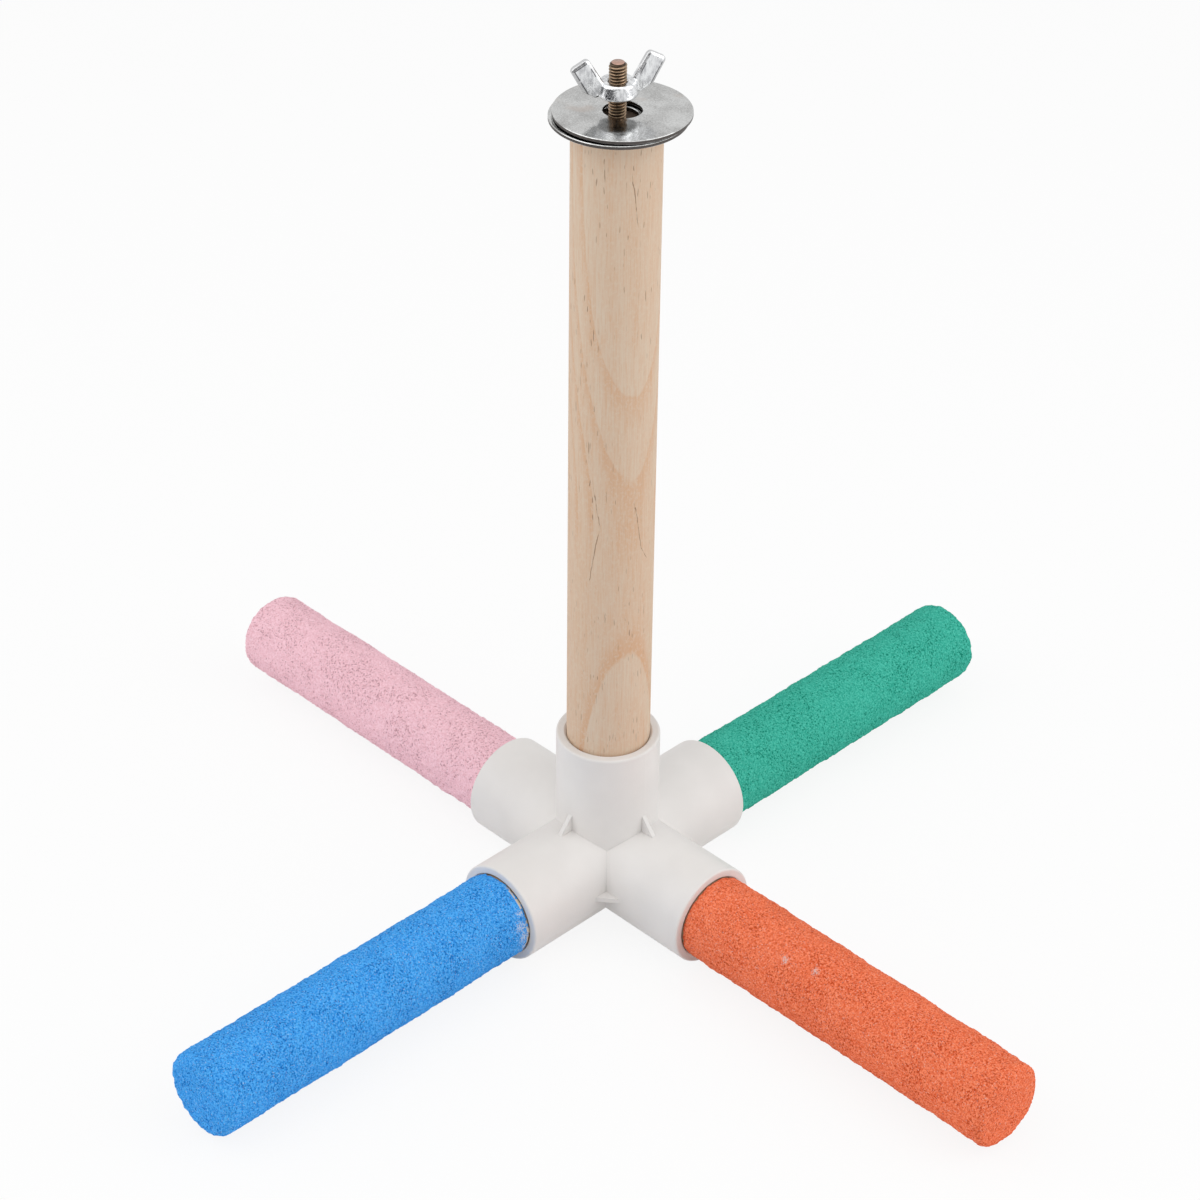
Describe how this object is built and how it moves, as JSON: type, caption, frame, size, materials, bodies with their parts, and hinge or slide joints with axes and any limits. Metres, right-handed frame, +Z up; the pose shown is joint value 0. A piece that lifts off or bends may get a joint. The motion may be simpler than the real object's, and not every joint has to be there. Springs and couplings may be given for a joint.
{
  "type": "bird perch",
  "caption": "Cage-mounted bird perch: a wooden upright in a white pipe fitting, coloured sand-coated perches in a cross, and a stud with wide washers and a wing nut on top.",
  "frame": {"origin": "under the middle of the fitting, on the surface that the sockets stand on", "axes": "+Z up along the upright; the perches point along -Y (blue), +X (orange), +Y (green) and -X (pink)"},
  "size_m": [0.2556, 0.2556, 0.2246],
  "materials": {
    "white_plastic": "satin",
    "bare_pine": "sanded, unvarnished",
    "perch_wood": "sanded, unvarnished",
    "bronze_plated_steel": "yellow-bronze plating",
    "galvanised_steel": "galvanised",
    "bright_zinc": "bright plated casting",
    "blue_sand": "coarse sand coat",
    "orange_sand": "coarse sand coat",
    "green_sand": "coarse sand coat",
    "pink_sand": "coarse sand coat"
  },
  "bodies": {
    "fitting": {"connector": "white_plastic"},
    "upright": {"upright_dowel": "bare_pine", "hanger_bolt": "bronze_plated_steel"},
    "lower_washer": {"lower_washer": "galvanised_steel"},
    "upper_washer": {"upper_washer": "galvanised_steel"},
    "wing_nut": {"wing_nut": "bright_zinc"},
    "blue_perch": {"blue_core": "perch_wood", "blue_coat": "blue_sand"},
    "orange_perch": {"orange_core": "perch_wood", "orange_coat": "orange_sand"},
    "green_perch": {"green_core": "perch_wood", "green_coat": "green_sand"},
    "pink_perch": {"pink_core": "perch_wood", "pink_coat": "pink_sand"}
  },
  "joints": [
    {"name": "upright_pull", "type": "slide", "parent": "fitting", "child": "upright", "axis": [0, 0, 1], "range_m": [0, 0.02]},
    {"name": "wing_nut_turn", "type": "hinge", "parent": "upright", "child": "lower_washer", "pos_m": [0, 0, 0.21045], "axis": [0, 0, 1], "range_deg": [-1620, 3240]},
    {"name": "wing_nut_travel", "type": "slide", "parent": "lower_washer", "child": "wing_nut", "axis": [0, 0, 1], "range_m": [-0.00315, 0.0063]},
    {"name": "upper_washer_lift", "type": "slide", "parent": "upright", "child": "upper_washer", "axis": [0, 0, 1], "range_m": [0, 0.0031]},
    {"name": "blue_pull", "type": "slide", "parent": "fitting", "child": "blue_perch", "axis": [0, -1, 0], "range_m": [0, 0.02]},
    {"name": "orange_pull", "type": "slide", "parent": "fitting", "child": "orange_perch", "axis": [1, 0, 0], "range_m": [0, 0.02]},
    {"name": "green_pull", "type": "slide", "parent": "fitting", "child": "green_perch", "axis": [0, 1, 0], "range_m": [0, 0.02]},
    {"name": "pink_pull", "type": "slide", "parent": "fitting", "child": "pink_perch", "axis": [-1, 0, 0], "range_m": [0, 0.02]}
  ],
  "couplings": [
    {"joint": "wing_nut_travel", "follows": "wing_nut_turn", "m_per_rad": 0.00011141}
  ]
}
